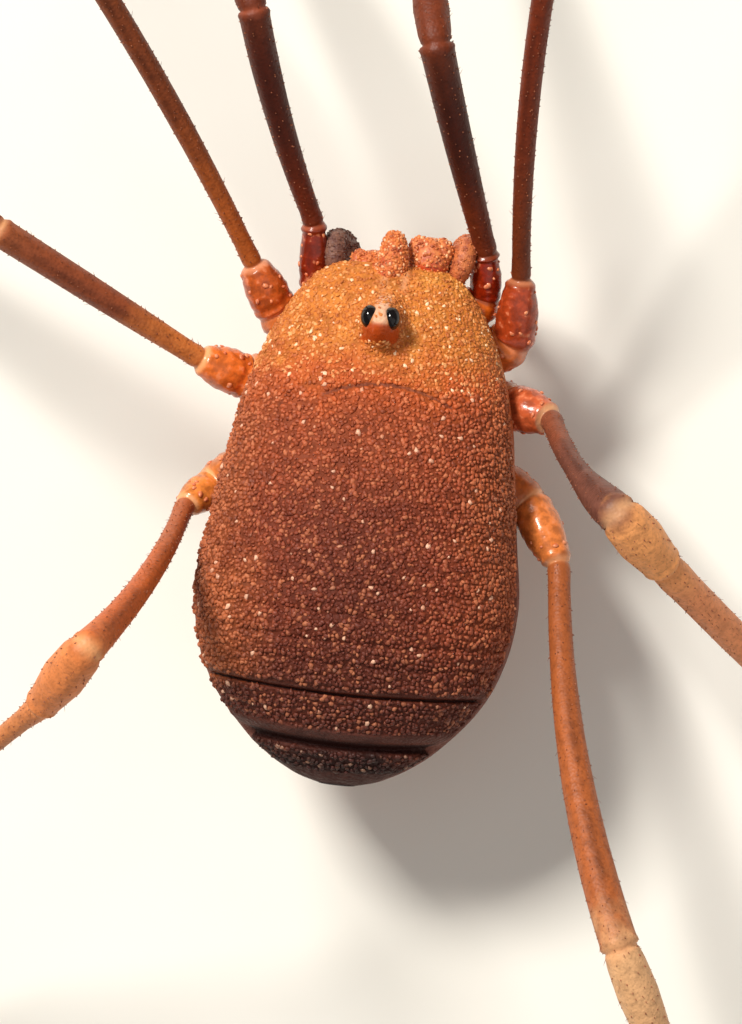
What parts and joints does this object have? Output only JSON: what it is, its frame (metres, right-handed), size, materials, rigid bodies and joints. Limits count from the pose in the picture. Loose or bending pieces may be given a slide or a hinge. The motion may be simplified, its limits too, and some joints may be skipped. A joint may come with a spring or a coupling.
{
  "type": "harvestman",
  "caption": "Still, life-size harvestman with a grained, plated back, two eyes on a mound and long jointed legs whose feet lie flat on the floor.",
  "frame": {"origin": "on the floor, under the middle of the whole animal's box", "axes": "head towards -Y, back towards +Z, the animal's left side towards +X"},
  "size_m": [0.0352, 0.0496, 0.0092],
  "materials": {
    "carapace": "amber orange, finely grained, half gloss",
    "scutum": "reddish brown, covered in small tan grains",
    "eye": "black and wet-looking",
    "joint": "clear orange red, glossy",
    "leg": "red brown with darker streaks, half gloss",
    "foot": "brown, ringed, finely haired",
    "mouth": "pale orange, half gloss"
  },
  "bodies": {
    "root": {"cephalothorax": "carapace", "abdomen": "scutum", "eye_left": "eye", "chelicera_left": "mouth", "pedipalp_left": "mouth", "eye_right": "eye", "chelicera_right": "mouth", "pedipalp_right": "mouth", "trochanter_left_1": "joint", "femur_left_1": "leg", "patella_left_1": "leg", "tibia_left_1": "leg", "metatarsus_left_1": "leg", "tarsus_left_1": "foot", "trochanter_left_2": "joint", "femur_left_2": "leg", "patella_left_2": "leg", "tibia_left_2": "leg", "metatarsus_left_2": "leg", "tarsus_left_2": "foot", "trochanter_left_3": "joint", "femur_left_3": "leg", "patella_left_3": "leg", "tibia_left_3": "leg", "metatarsus_left_3": "leg", "tarsus_left_3": "foot", "trochanter_left_4": "joint", "femur_left_4": "leg", "patella_left_4": "leg", "tibia_left_4": "leg", "metatarsus_left_4": "leg", "tarsus_left_4": "foot", "trochanter_right_1": "joint", "femur_right_1": "leg", "patella_right_1": "leg", "tibia_right_1": "leg", "metatarsus_right_1": "leg", "tarsus_right_1": "foot", "trochanter_right_2": "joint", "femur_right_2": "leg", "patella_right_2": "leg", "tibia_right_2": "leg", "metatarsus_right_2": "leg", "tarsus_right_2": "foot", "trochanter_right_3": "joint", "femur_right_3": "leg", "patella_right_3": "leg", "tibia_right_3": "leg", "metatarsus_right_3": "leg", "tarsus_right_3": "foot", "trochanter_right_4": "joint", "femur_right_4": "leg", "patella_right_4": "leg", "tibia_right_4": "leg", "metatarsus_right_4": "leg", "tarsus_right_4": "foot"}
  },
  "joints": []
}
